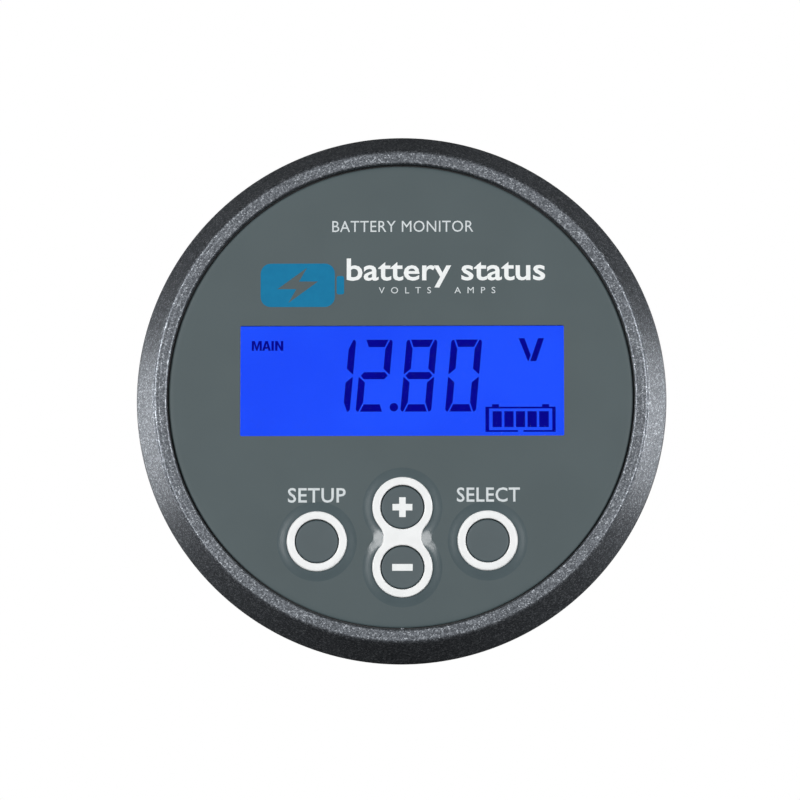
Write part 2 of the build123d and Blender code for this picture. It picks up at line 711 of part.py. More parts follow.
with BuildPart() as terminal_block:
    with BuildSketch(face_plane(BODY_DEPTH)):
        with Locations(TERMINAL_CENTER):
            Rectangle(*TERMINAL_SIZE)
    extrude(amount=BODY_DEPTH - REAR_BOARD_Y[1])
    chamfer(terminal_block.edges().group_by(Axis.Y)[-1].sort_by(Axis.Z)[-1], length=0.5)
    with BuildSketch(face_plane(REAR_BOARD_Y[1])):
        with Locations(*[(x, TERMINAL_CENTER[1]) for x in terminal_xs]):
            Rectangle(*TERMINAL_POCKET)
    extrude(amount=-(TERMINAL_POCKET_END_Y - REAR_BOARD_Y[1]), mode=Mode.SUBTRACT)
    with BuildSketch(face_plane(BODY_DEPTH)):
        with Locations(*[(x, TERMINAL_WELL_Z) for x in terminal_xs]):
            Circle(TERMINAL_WELL_R)
        with Locations(*[(x, TERMINAL_ENTRY_Z) for x in terminal_xs]):
            Rectangle(TERMINAL_ENTRY_SIZE, TERMINAL_ENTRY_SIZE)
    extrude(amount=BODY_DEPTH - TERMINAL_POCKET_END_Y, mode=Mode.SUBTRACT)
keep(terminal_block, "terminal_block")

with BuildPart() as terminal_clamps:
    with BuildSketch(face_plane(TERMINAL_POCKET_END_Y - 0.2)):
        with Locations(*[(x, TERMINAL_CENTER[1]) for x in terminal_xs]):
            Rectangle(TERMINAL_POCKET[0] - 0.2, TERMINAL_POCKET[1] - 0.2)
        with Locations(*[(x, TERMINAL_ENTRY_Z) for x in terminal_xs]):
            Rectangle(TERMINAL_ENTRY_SIZE - 0.4, TERMINAL_ENTRY_SIZE - 0.4, mode=Mode.SUBTRACT)
        with Locations(*[(x, TERMINAL_WELL_Z) for x in terminal_xs]):
            Circle(COVER_SCREW_SHANK_R, mode=Mode.SUBTRACT)
    extrude(amount=6.5)
keep(terminal_clamps, "terminal_clamps")

with BuildPart() as terminal_screws:
    with BuildSketch(face_plane(TERMINAL_POCKET_END_Y)):
        with Locations(*[(x, TERMINAL_WELL_Z) for x in terminal_xs]):
            Circle(TERMINAL_WELL_R - 0.15)
    extrude(amount=-3.0)
    with BuildSketch(face_plane(TERMINAL_POCKET_END_Y + 3.0)):
        with Locations(*[(x, TERMINAL_WELL_Z) for x in terminal_xs]):
            Rectangle(2 * TERMINAL_WELL_R, 0.5)
    extrude(amount=0.8, mode=Mode.SUBTRACT)
    with BuildSketch(face_plane(TERMINAL_POCKET_END_Y)):
        with Locations(*[(x, TERMINAL_WELL_Z) for x in terminal_xs]):
            Circle(COVER_SCREW_SHANK_R)
    extrude(amount=6.7)
keep(terminal_screws, "terminal_screws")

# ---------------------------------------------------------------- rear cover
# Disc on the end of the barrel, and two hexagonal brass posts that stand on it for the connector board.
with BuildPart() as rear_cover:
    with BuildSketch(face_plane(COVER_Y[1])):
        Circle(COVER_R)
    extrude(amount=span(COVER_Y))
    fillet(rear_cover.edges().group_by(Axis.Y)[-1], radius=0.5)
    with BuildSketch(face_plane(COVER_Y[1])):
        with Locations(SHUNT_SOCKET_CENTER):
            Rectangle(SHUNT_SOCKET_SIZE[0] + 2 * CUTOUT_GAP, SHUNT_SOCKET_SIZE[1] + 2 * CUTOUT_GAP)
        with Locations(DATA_PORT_CENTER):
            Rectangle(DATA_PORT_SIZE[0] + 2 * CUTOUT_GAP, DATA_PORT_SIZE[1] + 2 * CUTOUT_GAP)
        with Locations(TERMINAL_CENTER):
            Rectangle(TERMINAL_SIZE[0] + 2 * CUTOUT_GAP, TERMINAL_SIZE[1] + 2 * CUTOUT_GAP)
        with Locations(*CASE_BOSSES):
            Circle(COVER_SCREW_SHANK_R + 0.2)
    extrude(amount=span(COVER_Y), mode=Mode.SUBTRACT)
    with BuildSketch(face_plane(COVER_Y[1])):
        with Locations(*CASE_BOSSES):
            Circle(COVER_COUNTERBORE_R)
    extrude(amount=COVER_COUNTERBORE_DEPTH, mode=Mode.SUBTRACT)
keep(rear_cover, "rear_cover")

with BuildPart() as board_posts:
    with BuildSketch(face_plane(COVER_Y[0])):
        with Locations(*POST_CENTERS):
            RegularPolygon(POST_ACROSS_FLATS / 2, side_count=6, major_radius=False)
    extrude(amount=COVER_Y[0] - REAR_BOARD_Y[1])
    with BuildSketch(face_plane(REAR_BOARD_Y[1])):
        with Locations(*POST_CENTERS):
            Circle(SCREW_SHANK_R)
    extrude(amount=-POST_BORE_DEPTH, mode=Mode.SUBTRACT)
keep(board_posts, "board_posts")

keep(
    make_screws(
        CASE_BOSSES,
        COVER_Y[1] - COVER_COUNTERBORE_DEPTH,
        23.0,
        COVER_SCREW_HEAD_R,
        COVER_SCREW_SHANK_R,
    ),
    "cover_screws",
)

with BuildPart() as back_label:
    with BuildSketch(face_plane(COVER_Y[1] + LABEL_THICKNESS)):
        with Locations(LABEL_CENTER):
            RectangleRounded(*LABEL_SIZE, radius=0.6)
    extrude(amount=LABEL_THICKNESS)
keep(back_label, "back_label")

# ---------------------------------------------------------------- thrust washer and lock ring
with BuildPart() as thrust_washer:
    with BuildSketch(face_plane(WASHER_Y[1])):
        Circle(WASHER_RADII[1])
        Circle(WASHER_RADII[0], mode=Mode.SUBTRACT)
        tab_length = WASHER_RADII[0] + 0.5 - WASHER_TAB_R
        tab_x = WASHER_TAB_R + tab_length / 2
        with Locations((tab_x, 0), (-tab_x, 0)):
            Rectangle(tab_length, WASHER_TAB_WIDTH)
    extrude(amount=span(WASHER_Y))
keep(thrust_washer, "thrust_washer")


def thread_half_width(radius):
    """Half the width, along Y, of the barrel's thread ridge at a given radius."""
    slope = (THREAD_HALF_ROOT - THREAD_HALF_CREST) / (THREAD_CREST_R - THREAD_ROOT_R + THREAD_OVERLAP)
    return THREAD_HALF_CREST + slope * (THREAD_CREST_R - radius)


def nut_half_width(radius):
    """Half the width of the lock ring's ridge: the barrel's groove less the flank clearance."""
    return THREAD_PITCH / 2 - thread_half_width(radius) - THREAD_CLEARANCE


with BuildPart() as lock_ring:
    with BuildSketch(Plane.XY):
        with BuildLine():
            Polyline(
                (RING_BORE_R, RING_Y[0]),
                (RING_FLANGE_R, RING_Y[0]),
                (RING_FLANGE_R, RING_Y[0] + RING_FLANGE_THICKNESS),
                (RING_BODY_R, RING_Y[0] + RING_FLANGE_THICKNESS),
                (RING_BODY_R, RING_Y[1]),
                (RING_BORE_R, RING_Y[1]),
                close=True,
            )
        make_face()
    revolve(axis=Axis.Y)
    with BuildSketch(face_plane(RING_Y[1])):
        with PolarLocations(RING_LUG_R - 1.0, RING_LUG_COUNT):
            Rectangle(2.0, RING_LUG_WIDTH)
    extrude(amount=span(RING_Y) - RING_FLANGE_THICKNESS)
    with BuildLine() as nut_helix:
        Helix(
            pitch=THREAD_PITCH,
            height=span(RING_Y) - 2.6,
            radius=RING_BORE_R,
            center=(0, NUT_THREAD_START, 0),
            direction=(0, 1, 0),
        )
    nut_crest_r = THREAD_ROOT_R + THREAD_CLEARANCE
    nut_base_r = RING_BORE_R + THREAD_OVERLAP
    with BuildSketch(
        Plane(
            origin=nut_helix.line @ 0,
            x_dir=(0, 0, 1),
            z_dir=nut_helix.line % 0,
        )
    ):
        Polygon(
            (nut_crest_r - RING_BORE_R, -nut_half_width(nut_crest_r)),
            (nut_base_r - RING_BORE_R, -nut_half_width(nut_base_r)),
            (nut_base_r - RING_BORE_R, nut_half_width(nut_base_r)),
            (nut_crest_r - RING_BORE_R, nut_half_width(nut_crest_r)),
            align=None,
        )
    sweep(path=nut_helix.line, is_frenet=True)
keep(lock_ring, "lock_ring")

# ---------------------------------------------------------------- write
os.makedirs("parts", exist_ok=True)
for piece in pieces:
    export_step(piece, "parts/" + piece.label + ".step")
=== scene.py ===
import json
import math
import bpy
from mathutils import Matrix, Vector

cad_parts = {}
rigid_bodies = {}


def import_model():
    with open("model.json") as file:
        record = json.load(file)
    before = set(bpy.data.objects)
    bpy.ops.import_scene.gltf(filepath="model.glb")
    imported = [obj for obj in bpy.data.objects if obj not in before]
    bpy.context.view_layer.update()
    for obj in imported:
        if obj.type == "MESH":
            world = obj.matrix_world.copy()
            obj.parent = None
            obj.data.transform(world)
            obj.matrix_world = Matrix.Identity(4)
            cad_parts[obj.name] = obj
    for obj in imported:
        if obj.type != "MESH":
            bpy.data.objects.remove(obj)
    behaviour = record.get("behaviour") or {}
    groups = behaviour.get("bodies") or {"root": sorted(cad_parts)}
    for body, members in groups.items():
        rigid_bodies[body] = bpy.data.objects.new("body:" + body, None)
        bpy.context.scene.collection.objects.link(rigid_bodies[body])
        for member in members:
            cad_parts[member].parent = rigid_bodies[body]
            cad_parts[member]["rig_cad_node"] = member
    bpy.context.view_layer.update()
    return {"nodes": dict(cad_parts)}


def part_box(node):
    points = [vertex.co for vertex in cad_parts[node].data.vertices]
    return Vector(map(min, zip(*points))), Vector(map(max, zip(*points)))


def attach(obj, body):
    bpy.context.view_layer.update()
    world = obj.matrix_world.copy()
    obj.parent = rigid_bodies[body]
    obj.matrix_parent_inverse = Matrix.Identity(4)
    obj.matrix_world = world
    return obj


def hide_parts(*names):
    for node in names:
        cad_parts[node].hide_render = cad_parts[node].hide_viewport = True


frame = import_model()

# The round display head of a battery monitor, held in a panel hole by a lock ring.
# The instrument's axis is Y and its face looks towards -Y. Outlines are in millimetres, objects in metres.
MM = 0.001

# Planes along Y, in millimetres, read from the frame
RING_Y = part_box("bezel")[0].y / MM
FACE_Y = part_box("graphic_overlay")[0].y / MM
SHEET_BACK_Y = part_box("graphic_overlay")[1].y / MM
RIM_TOP_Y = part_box("setup_rim")[0].y / MM
KEY_TOP_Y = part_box("setup_key")[0].y / MM
GLASS_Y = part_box("lcd_front_glass")[0].y / MM
COVER_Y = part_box("rear_cover")[1].y / MM
LABEL_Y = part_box("back_label")[1].y / MM


def middle(node):
    """Centre of a CAD node in the face plane, as (x, z) in millimetres."""
    low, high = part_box(node)
    return ((low.x + high.x) / 2 / MM, (low.z + high.z) / 2 / MM)


SETUP_AT = middle("setup_key")
SELECT_AT = middle("select_key")
PLUS_AT = middle("plus_key")
MINUS_AT = middle("minus_key")
INK = 0.02


# ---------------------------------------------------------------- modelling helpers
def pick(piece=None):
    """Leaves edit mode and selects this piece alone, or nothing."""
    if bpy.context.mode != "OBJECT":
        bpy.ops.object.mode_set(mode="OBJECT")
    bpy.ops.object.select_all(action="DESELECT")
    if piece is not None:
        piece.select_set(True)
        bpy.context.view_layer.objects.active = piece
    return piece


def place_in_mesh(piece):
    """Moves a piece's place, turn and size into its mesh, so that its object sits at the origin."""
    pick(piece)
    bpy.ops.object.transform_apply(location=True, rotation=True, scale=True)


def draw_chain(points):
    """Edges through points in millimetres, drawn from one vertex by extrusion. Stays in edit mode."""
    pick()
    points = [Vector(p) * MM for p in points]
    bpy.ops.mesh.primitive_plane_add(size=MM, location=points[0])
    piece = bpy.context.object
    place_in_mesh(piece)
    bpy.ops.object.mode_set(mode="EDIT")
    bpy.ops.mesh.select_mode(type="VERT")
    bpy.ops.mesh.select_all(action="SELECT")
    bpy.ops.mesh.merge(type="CENTER")
    for start, end in zip(points, points[1:]):
        bpy.ops.mesh.extrude_vertices_move(TRANSFORM_OT_translate={"value": end - start})
    bpy.ops.mesh.select_all(action="SELECT")
    return piece


def plate(outline, front, back):
    """A flat plate: an outline of (x, z) points, filled and extruded from front to back."""
    piece = draw_chain([(x, front, z) for x, z in outline])
    bpy.ops.mesh.edge_face_add()
    bpy.ops.mesh.extrude_region_move(TRANSFORM_OT_translate={"value": (0, (back - front) * MM, 0)})
    bpy.ops.mesh.select_all(action="SELECT")
    bpy.ops.mesh.normals_make_consistent(inside=False)
    return pick(piece)


def turned(profile, centre=(0, 0), steps=96):
    """A turned shape: a closed profile of (radius, y) points spun about the axis along Y through centre."""
    x, z = centre
    piece = draw_chain([(x + r, y, z) for r, y in profile + profile[:1]])
    bpy.ops.mesh.spin(steps=steps, angle=2 * math.pi, center=(x * MM, 0, z * MM), axis=(0, 1, 0))
    bpy.ops.mesh.select_all(action="SELECT")
    bpy.ops.mesh.remove_doubles(threshold=1e-7)
    bpy.ops.mesh.normals_make_consistent(inside=False)
    return pick(piece)


def arc(centre, radius, start, end, count):
    """Points on an arc in the plane of an outline, its angles in degrees."""
    angles = [math.radians(start + (end - start) * i / count) for i in range(count + 1)]
    return [(centre[0] + radius * math.cos(a), centre[1] + radius * math.sin(a)) for a in angles]


def rounded_outline(left, bottom, right, top, radius, count=5):
    """A rectangle with rounded corners, as (x, z) points."""
    corners = [(right, top, 0), (left, top, 90), (left, bottom, 180), (right, bottom, 270)]
    points = []
    for x, z, start in corners:
        inward_x = x - radius if x == right else x + radius
        inward_z = z - radius if z == top else z + radius
        points += arc((inward_x, inward_z), radius, start, start + 90, count)
    return points


def apply_modifier(piece, kind, **settings):
    """Adds a modifier with its settings and applies it."""
    pick(piece)
    modifier = piece.modifiers.new(kind.lower(), kind)
    for name, value in settings.items():
        setattr(modifier, name, value)
    bpy.ops.object.modifier_apply(modifier=modifier.name)


def cut_with(piece, cutter):
    """Cuts one piece out of another and throws the cutter away."""
    apply_modifier(piece, "BOOLEAN", operation="DIFFERENCE", object=cutter, solver="EXACT")
    bpy.data.objects.remove(cutter)


def drill(piece, at, radius, front, back, steps):
    """Cuts a round hole through a piece, from front to back along Y."""
    cut_with(piece, turned([(0.0, front), (radius, front), (radius, back), (0.0, back)], at, steps))


def soften(piece, width, segments=2, angle=35):
    """Rounds the edges sharper than an angle, and keeps the flats flat."""
    apply_modifier(
        piece,
        "BEVEL",
        width=width * MM,
        segments=segments,
        limit_method="ANGLE",
        angle_limit=math.radians(angle),
        harden_normals=False,
        use_clamp_overlap=True,
    )


def flatten_normals(piece, sharp=60):
    """Smooth shading in which large flat faces keep their own normal."""
    pick(piece)
    bpy.ops.object.shade_smooth_by_angle(angle=math.radians(sharp))
    apply_modifier(piece, "WEIGHTED_NORMAL", keep_sharp=True, weight=100)


def fit(piece, name, material, body="housing", replaces=()):
    """Names a finished piece, gives it its finish and sets it on its body."""
    pick(piece)
    piece.name = name
    piece.data.name = name
    piece.data.materials.clear()
    piece.data.materials.append(material)
    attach(piece, body)
    if replaces:
        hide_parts(*replaces)
    return piece


def lettering(words, box, front, thick, weight=0.0, spacing=1.0, from_rear=False):
    """Words cut from a thin sheet that fill box = (left, bottom, right, top) in the face plane."""
    pick()
    bpy.ops.object.text_add()
    text = bpy.context.object
    text.data.body = words
    text.data.resolution_u = 3
    text.data.offset = weight
    text.data.space_character = spacing
    text.data.extrude = 0.5
    bpy.ops.object.convert(target="MESH")
    text = bpy.context.object
    xs = [v.co.x for v in text.data.vertices]
    ys = [v.co.y for v in text.data.vertices]
    left, bottom, right, top = box
    scale_x = (right - left) / (max(xs) - min(xs))
    scale_y = (top - bottom) / (max(ys) - min(ys))
    turn = math.pi if from_rear else 0.0
    text.matrix_world = (
        Matrix.Translation(Vector(((left + right) / 2, front + thick / 2, (bottom + top) / 2)) * MM)
        @ Matrix.Rotation(turn, 4, "Z")
        @ Matrix.Rotation(math.pi / 2, 4, "X")
        @ Matrix.Diagonal((scale_x * MM, scale_y * MM, thick * MM, 1.0))
        @ Matrix.Translation((-(max(xs) + min(xs)) / 2, -(max(ys) + min(ys)) / 2, 0))
    )
    place_in_mesh(text)
    bpy.ops.object.mode_set(mode="EDIT")
    bpy.ops.mesh.select_all(action="SELECT")
    bpy.ops.mesh.remove_doubles(threshold=1e-7)
    bpy.ops.mesh.normals_make_consistent(inside=False)
    return pick(text)


def join(parts):
    """Joins loose parts of one piece into one mesh."""
    pick()
    for part in parts:
        part.select_set(True)
    bpy.context.view_layer.objects.active = parts[0]
    bpy.ops.object.join()
    return bpy.context.object


def copy_of(node):
    """A loose copy of a CAD node's mesh, merged and with its flat faces whole."""
    pick(frame["nodes"][node])
    bpy.ops.object.duplicate()
    piece = bpy.context.object
    piece.parent = None
    del piece["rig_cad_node"]
    pick(piece)
    bpy.ops.mesh.customdata_custom_splitnormals_clear()
    bpy.ops.object.mode_set(mode="EDIT")
    bpy.ops.mesh.select_all(action="SELECT")
    bpy.ops.mesh.remove_doubles(threshold=2e-6)
    bpy.ops.mesh.dissolve_limited(angle_limit=math.radians(0.5))
    bpy.ops.mesh.mark_sharp(clear=True)
    return pick(piece)


# ---------------------------------------------------------------- material helpers
def linear(colour):
    """An sRGB hex colour as linear RGBA."""
    channels = [int(colour[i : i + 2], 16) / 255 for i in (1, 3, 5)]
    return [c / 12.92 if c <= 0.04045 else ((c + 0.055) / 1.055) ** 2.4 for c in channels] + [1.0]


def add_node(tree, kind, settings=None, links=None):
    """Adds a node. settings are its properties or socket values, links lead to its sockets."""
    node = tree.nodes.new("ShaderNode" + kind)
    for name, value in (settings or {}).items():
        if name == "stops":
            elements = node.color_ramp.elements
            while len(elements) < len(value):
                elements.new(0.5)
            for element, (position, colour) in zip(elements, value):
                element.position, element.color = position, colour
        elif isinstance(name, str) and hasattr(node, name):
            setattr(node, name, value)
        else:
            node.inputs[name].default_value = value
    for name, source in (links or {}).items():
        tree.links.new(source, node.inputs[name])
    return node


def start_material(name, **sockets):
    """A material with a Principled shader. Returns (material, its tree, the shader, Object coordinates)."""
    material = bpy.data.materials.new(name)
    material.use_nodes = True
    tree = material.node_tree
    tree.nodes.clear()
    shader = add_node(tree, "BsdfPrincipled", {k.replace("_", " "): v for k, v in sockets.items()})
    add_node(tree, "OutputMaterial", links={"Surface": shader.outputs["BSDF"]})
    place = add_node(tree, "TexCoord").outputs["Object"]
    return material, tree, shader, place


def patches(tree, place, size, detail=2.0):
    """Soft random patches of a size in millimetres, as a factor."""
    return add_node(
        tree, "TexNoise", {"Scale": 1 / (size * MM), "Detail": detail}, {"Vector": place}
    ).outputs["Fac"]


def colour_between(tree, factor, low, high):
    """A colour that runs from low to high over the middle of a noise factor's range."""
    ramp = {"stops": [(0.36, linear(low)), (0.64, linear(high))]}
    return add_node(tree, "ValToRGB", ramp, {"Fac": factor}).outputs["Color"]


def rough_between(tree, factor, low, high):
    """A roughness that runs from low to high over the middle of a noise factor's range."""
    span = {"From Min": 0.3, "From Max": 0.7, "To Min": low, "To Max": high}
    return add_node(tree, "MapRange", span, {"Value": factor}).outputs["Result"]


def relief(tree, height, depth, strength=1.0):
    """A bump of a depth in millimetres."""
    settings = {"Distance": depth * MM, "Strength": strength}
    return add_node(tree, "Bump", settings, {"Height": height}).outputs["Normal"]


def moulded(name, colours, grain, depth, rough, patch=3.0, **sockets):
    """A moulded or coated surface: two close colours in patches, and a fine grain.

    grain and patch are sizes, and depth is the grain's relief, in millimetres.
    """
    material, tree, shader, place = start_material(name, **sockets)
    cloud = patches(tree, place, patch)
    fine = patches(tree, place, grain, 3.0)
    tree.links.new(colour_between(tree, cloud, *colours), shader.inputs["Base Color"])
    tree.links.new(rough_between(tree, fine, *rough), shader.inputs["Roughness"])
    tree.links.new(relief(tree, fine, depth), shader.inputs["Normal"])
    return material


# ---------------------------------------------------------------- materials of the face
def flaked_plastic():
    """ABS filled with aluminium flake, spark-eroded: a rough grey metal whose grains are painted lighter and
    darker, as the flakes' own tone and as painted glints.
    """
    material, tree, shader, place = start_material("flake_abs_spark_eroded", Metallic=0.8)
    # Flakes of 0.05 mm, drawn as cells of 0.13 mm so that they show
    cells = add_node(tree, "TexVoronoi", {"Scale": 1 / (0.13 * MM)}, {"Vector": place})
    lot = add_node(tree, "SeparateColor", links={"Color": cells.outputs["Color"]})
    # Each cell's colour is partly the flake's own tone and partly a painted glint: the lightest cells stand
    # in for flakes that catch the lamps.
    flake_tone_and_glints = add_node(
        tree,
        "ValToRGB",
        {
            "stops": [
                (0.0, linear("#4d5156")),
                (0.5, linear("#676b71")),
                (0.85, linear("#7f848a")),
                (1.0, linear("#b0b5bb")),
            ]
        },
        {"Fac": lot.outputs["Red"]},
    )
    tree.links.new(flake_tone_and_glints.outputs["Color"], shader.inputs["Base Color"])
    tree.links.new(rough_between(tree, lot.outputs["Green"], 0.34, 0.46), shader.inputs["Roughness"])
    fine = patches(tree, place, 0.16, 3.0)
    tree.links.new(relief(tree, fine, 0.012), shader.inputs["Normal"])
    return material


# The display lies under an anti-glare window, so its glass mirrors nothing
MATT_GLASS = {"Roughness": 0.6, "Specular_IOR_Level": 0.0}


def lit_display():
    """Liquid crystal glass over a blue backlight: an even glow that varies softly from place to place."""
    material, tree, shader, place = start_material("blue_backlit_glass", **MATT_GLASS)
    shader.inputs["Base Color"].default_value = linear("#02030a")
    cloud = patches(tree, place, 12.0, 1.0)
    glow = colour_between(tree, cloud, "#1c4afa", "#1f50ff")
    tree.links.new(glow, shader.inputs["Emission Color"])
    shader.inputs["Emission Strength"].default_value = 1.08
    return material


def driven_segment():
    """A driven liquid crystal segment: it shuts the backlight off, down to a deep blue."""
    material, tree, shader, place = start_material("driven_segment", **MATT_GLASS)
    shader.inputs["Base Color"].default_value = linear("#010105")
    cloud = patches(tree, place, 1.5, 1.0)
    glow = colour_between(tree, cloud, "#00008c", "#000096")
    tree.links.new(glow, shader.inputs["Emission Color"])
    shader.inputs["Emission Strength"].default_value = 1.0
    return material


FLAKED = flaked_plastic()
DISPLAY = lit_display()
SEGMENT = driven_segment()
# Polycarbonate film, printed grey on its back and velvet-textured: matt, very slightly uneven
FILM = moulded("velvet_printed_film", ("#465457", "#49575a"), 0.12, 0.003, (0.5, 0.6), 9.0, IOR=1.5)
KEY_FILM = moulded("embossed_key_film", ("#4a575b", "#4d5a5e"), 0.12, 0.002, (0.45, 0.52), 5.0, IOR=1.5)
# The same film where embossing has stretched it: its velvet texture is pulled smoother and shinier, and its
# grey is painted lighter than the flat film's, a painted halo of light round the keys.
SLOPE_FILM_PAINTED_HALO = moulded("stretched_film_painted_halo", ("#4f5c60", "#525f63"), 0.3, 0.001, (0.21, 0.25), 3.0, IOR=1.5)
# Screen-printed inks: opaque and satin, each a thin film with the mesh's faint unevenness
WHITE_INK = moulded("white_screen_ink", ("#f2f6f6", "#f7fafa"), 0.1, 0.001, (0.4, 0.5), 1.0)
BLUE_INK = moulded(
    "blue_screen_ink", ("#0476a2", "#067aa6"), 0.1, 0.001, (0.4, 0.5), 1.0, Specular_IOR_Level=0.15
)
GREY_INK = moulded("pale_screen_ink", ("#d3dadd", "#dae1e3"), 0.1, 0.001, (0.4, 0.5), 1.0)
BLACK_INK = moulded("black_screen_ink", ("#191919", "#202020"), 0.1, 0.001, (0.4, 0.5), 1.0)
# Glossy white ink over the embossed rims
RIM_WHITE = moulded("white_rim_ink", ("#f6f8f8", "#fbfdfd"), 0.2, 0.001, (0.3, 0.38), 1.5)
# Cast acrylic: clear and polished
CLEAR = moulded(
    "clear_acrylic_window",
    ("#ffffff", "#fdfeff"),
    5.0,
    0.0005,
    (0.02, 0.04),
    IOR=1.49,
    Transmission_Weight=1.0,
)

# ---------------------------------------------------------------- materials of the body
# Moulded ABS, spark-eroded tool: black with a soft sheen and a fine grain
BLACK = moulded("black_abs_moulded", ("#1d1e20", "#202224"), 0.25, 0.008, (0.42, 0.55), IOR=1.53)
# Closed-cell foam, die-cut: dull, with open pores at the cut
FOAM = moulded("closed_cell_neoprene", ("#141414", "#1d1d1d"), 0.35, 0.05, (0.8, 0.95))
# White and opal mouldings of the display's stack: satin, bright, to spread the backlight
TRAY = moulded("white_abs_moulded", ("#dcdcd6", "#e6e6e0"), 0.3, 0.006, (0.4, 0.5))
GUIDE = moulded("opal_acrylic", ("#d6e0f2", "#e4ecf8"), 0.5, 0.002, (0.2, 0.3), IOR=1.49)
FILM_WHITE = moulded("white_polyester_reflector", ("#eeeeee", "#f6f6f6"), 0.3, 0.001, (0.35, 0.45))
# Transfer-moulded epoxy of chips, switches and buzzer: matt black
EPOXY = moulded("black_epoxy_moulding", ("#17181a", "#202124"), 0.12, 0.006, (0.5, 0.65))
# Phosphor-filled resin of white light-emitting diodes: pale yellow, satin
LED = moulded("led_resin", ("#e9e4c8", "#f2edd4"), 0.3, 0.002, (0.25, 0.35))
# Pressed and nickel-plated metal: smooth, slightly warm
CAN = moulded("nickel_plated_can", ("#b9b7b0", "#c6c4bd"), 0.4, 0.002, (0.22, 0.34), Metallic=1.0)
# Relay cover and capacitor sleeve: coloured plastics, satin
RELAY = moulded("relay_case_polyester", ("#2b3f6e", "#304678"), 0.3, 0.004, (0.35, 0.45))
SLEEVE = moulded("shrink_sleeve_pvc", ("#1b1f3a", "#232846"), 0.6, 0.003, (0.3, 0.4))
# Metals of screws, posts and contacts: zinc plating is greyer and duller than turned brass or gold
STEEL = moulded("zinc_plated_steel", ("#a9acae", "#bcbfc0"), 0.3, 0.004, (0.25, 0.4), Metallic=1.0)
BRASS = moulded("turned_brass", ("#b99548", "#c6a355"), 0.15, 0.002, (0.25, 0.4), Metallic=1.0)
GOLD = moulded("gold_plated_contact", ("#cfa84e", "#ddb85f"), 0.2, 0.001, (0.2, 0.3), Metallic=1.0)
# Nylon and polyamide connector bodies: satin, with a little more grain than the covers
SOCKET = moulded("black_nylon_socket", ("#161719", "#1d1e20"), 0.2, 0.005, (0.4, 0.5), IOR=1.53)
PORT = moulded("natural_nylon_port", ("#d8d3c4", "#e2ddcf"), 0.25, 0.005, (0.4, 0.52), IOR=1.53)
TERMINAL = moulded("green_polyamide", ("#2c7a48", "#318650"), 0.22, 0.008, (0.42, 0.55), IOR=1.53)
# Label stock: matt white polyester
LABEL = moulded("matt_label_polyester", ("#d9dbdb", "#e2e4e4"), 0.15, 0.001, (0.45, 0.6))


TRACK_CELL = 2.54
STRIPE_GAP = 0.4
# A wave texture of scale 1 repeats this many times in one unit
WAVES_PER_UNIT = 20


def solder_mask():
    """Glass-epoxy board under green solder mask: dark green, with tracks showing as raised lighter lines."""
    material, tree, shader, place = start_material("green_solder_mask", IOR=1.55)
    # Narrow tracks round cells on the boards' common 2.54 mm grid
    grid = add_node(
        tree,
        "TexBrick",
        {
            "Scale": 1 / (TRACK_CELL * MM),
            "Mortar Size": 0.06,
            "Color1": linear("#0f4a2a"),
            "Color2": linear("#125030"),
            "Mortar": linear("#1f7a48"),
        },
    )
    flat = add_node(tree, "Mapping", {"Rotation": (math.radians(90), 0, 0)}, {"Vector": place})
    tree.links.new(flat.outputs[0], grid.inputs["Vector"])
    tree.links.new(grid.outputs["Color"], shader.inputs["Base Color"])
    fine = patches(tree, place, 0.2)
    tree.links.new(rough_between(tree, fine, 0.28, 0.4), shader.inputs["Roughness"])
    tree.links.new(relief(tree, grid.outputs["Fac"], 0.03), shader.inputs["Normal"])
    return material


def zebra_rubber():
    """Zebra connector: silicone with carbon-filled stripes, drawn coarser than life so that they show."""
    material, tree, shader, place = start_material("zebra_silicone", Roughness=0.6)
    scale = 1 / (STRIPE_GAP * MM) / WAVES_PER_UNIT
    bands = add_node(tree, "TexWave", {"Scale": scale, "Distortion": 0.0}, {"Vector": place})
    stripes = colour_between(tree, bands.outputs["Fac"], "#1a1a1a", "#d9a0a8")
    tree.links.new(stripes, shader.inputs["Base Color"])
    return material


BOARD = solder_mask()
ZEBRA = zebra_rubber()

# ---------------------------------------------------------------- bezel
# Turned profile: rear edge, widest rim, cone, rounded front edge, flat ring with a fine groove, rolled lip,
# then the inside: over the deck's edge, over the case's flange, and behind the snap bead.
RIM_WIDEST_Y = -3.4
LIP_R = 27.6
GROOVE_R = 28.55
GROOVE_DEPTH = 0.013
OVER_DECK_R = 28.7
OVER_FLANGE_R = 30.3
SNAP_BEAD_R = 29.9
DECK_SEAT_Y = -6.9
FLANGE_SEAT_Y = -2.7
SNAP_BEAD_Y = -1.0
BEZEL_REAR_Y = -0.3
bezel_profile = (
    arc((30.75, -0.55), 0.25, 90, 0, 3)
    + arc((30.0, RIM_WIDEST_Y), 1.5, 8, -28, 8)
    + arc((28.87, RING_Y + 0.55), 0.55, -28, -90, 10)
    + [
        (GROOVE_R + 0.09, RING_Y),
        (GROOVE_R + 0.02, RING_Y + GROOVE_DEPTH),
        (GROOVE_R - 0.02, RING_Y + GROOVE_DEPTH),
        (GROOVE_R - 0.09, RING_Y),
    ]
    + arc((LIP_R + 0.25, RING_Y + 0.25), 0.25, -90, -180, 6)
    + [
        (LIP_R, DECK_SEAT_Y),
        (OVER_DECK_R, DECK_SEAT_Y),
        (OVER_DECK_R, FLANGE_SEAT_Y),
        (OVER_FLANGE_R, FLANGE_SEAT_Y),
        (OVER_FLANGE_R, SNAP_BEAD_Y),
        (SNAP_BEAD_R, SNAP_BEAD_Y),
        (SNAP_BEAD_R, BEZEL_REAR_Y),
    ]
)
bezel = turned(bezel_profile, steps=240)
